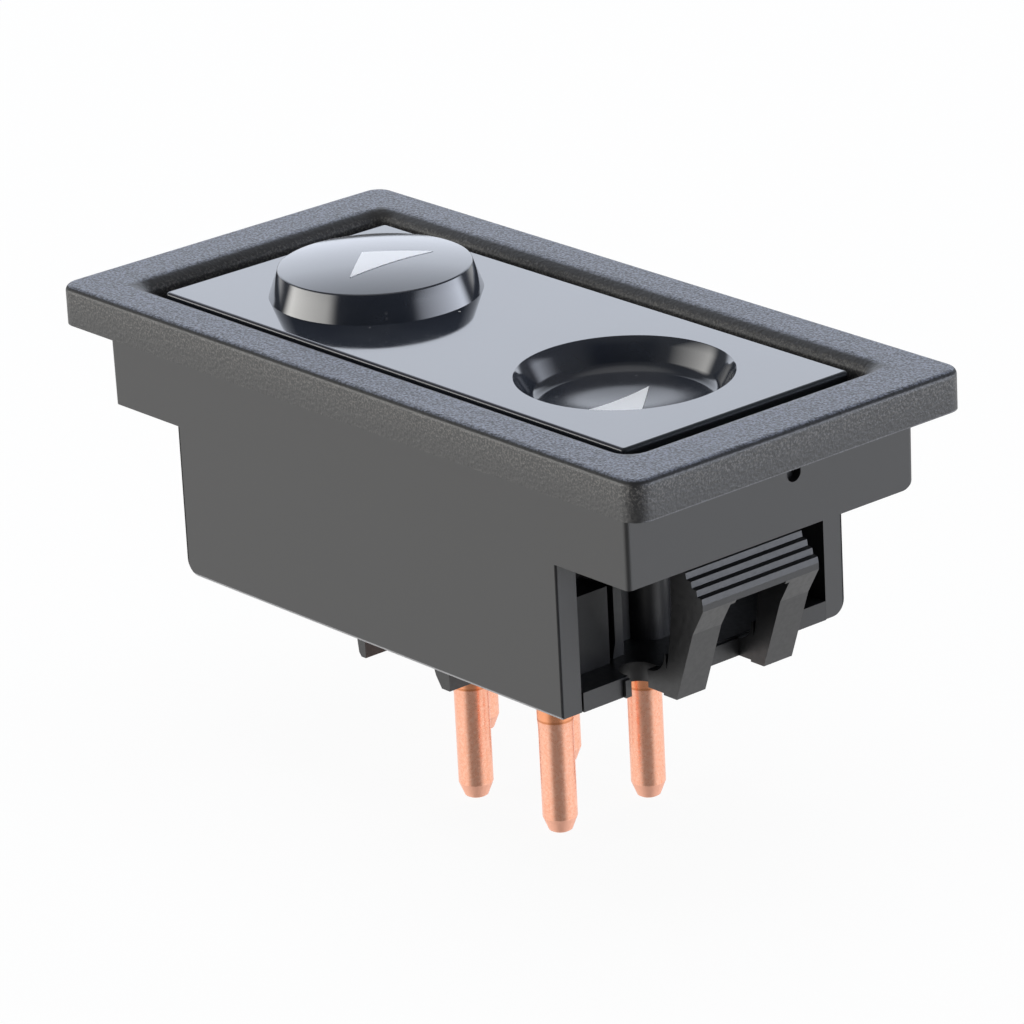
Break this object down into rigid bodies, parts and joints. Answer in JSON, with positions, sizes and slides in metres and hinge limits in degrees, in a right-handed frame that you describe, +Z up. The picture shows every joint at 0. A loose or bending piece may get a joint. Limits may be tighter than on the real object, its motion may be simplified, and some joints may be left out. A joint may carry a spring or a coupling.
{
  "type": "power window switch",
  "caption": "Momentary rocker switch for a car window, with a raised button and a finger dish in a flanged bezel, end latches and round terminal pins.",
  "frame": {"origin": "centre of the flange underside, in the plane that seats on the trim panel", "axes": "+X along the long side towards the finger dish, +Y across, +Z up and out of the panel towards the user"},
  "size_m": [0.066, 0.0322, 0.0389],
  "materials": {
    "bezel_black": "fine moulded grain on the flange, smooth below it",
    "base_black": "smooth moulded black",
    "rocker_black": "polished black",
    "arrow_white": "satin white",
    "pin_copper": "drawn copper, slightly dulled",
    "brass_strip": "stamped strip",
    "contact_silver": "satin silver contact",
    "plunger_white": "natural unfilled plastic",
    "spring_steel": "drawn spring wire"
  },
  "bodies": {
    "housing": {"housing": "bezel_black", "terminal_base": "base_black", "pin_middle_near": "pin_copper", "pin_dish_near": "pin_copper", "pin_dome_far": "pin_copper", "pin_middle_far": "pin_copper", "pin_dish_far": "pin_copper", "pin_contacts": "contact_silver", "link_contacts": "contact_silver", "link_strip": "brass_strip", "fulcrum_bracket_near": "brass_strip", "fulcrum_bracket_far": "brass_strip"},
    "rocker": {"rocker": "rocker_black", "arrow_dome": "arrow_white", "arrow_dish": "arrow_white"},
    "plunger_near": {"plunger_near": "plunger_white", "plunger_spring_near": "spring_steel"},
    "plunger_far": {"plunger_far": "plunger_white", "plunger_spring_far": "spring_steel"},
    "contact_arm_near": {"contact_arm_near": "brass_strip", "arm_rivets_near": "contact_silver"},
    "contact_arm_far": {"contact_arm_far": "brass_strip", "arm_rivets_far": "contact_silver"}
  },
  "joints": [
    {"name": "rocker_tilt", "type": "hinge", "parent": "housing", "child": "rocker", "pos_m": [0, 0, -0.0024], "axis": [0, 1, 0], "range_deg": [-5, 5], "stiffness_Nm_per_rad": 0.3},
    {"name": "plunger_slide_near", "type": "slide", "parent": "rocker", "child": "plunger_near", "axis": [0, 0, 1], "range_m": [0, 0.0006], "stiffness_N_per_m": 600, "deforming": ["plunger_spring_near"]},
    {"name": "arm_rock_near", "type": "hinge", "parent": "housing", "child": "contact_arm_near", "pos_m": [0, -0.00445, -0.00995], "axis": [0, 1, 0], "range_deg": [-5.5, 5.5]},
    {"name": "plunger_slide_far", "type": "slide", "parent": "rocker", "child": "plunger_far", "axis": [0, 0, 1], "range_m": [0, 0.0006], "stiffness_N_per_m": 600, "deforming": ["plunger_spring_far"]},
    {"name": "arm_rock_far", "type": "hinge", "parent": "housing", "child": "contact_arm_far", "pos_m": [0, 0.00445, -0.00995], "axis": [0, 1, 0], "range_deg": [-5.5, 5.5]}
  ],
  "couplings": [
    {"joint": "arm_rock_near", "follows": "rocker_tilt", "ratio": -1.1},
    {"joint": "arm_rock_far", "follows": "rocker_tilt", "ratio": -1.1}
  ]
}
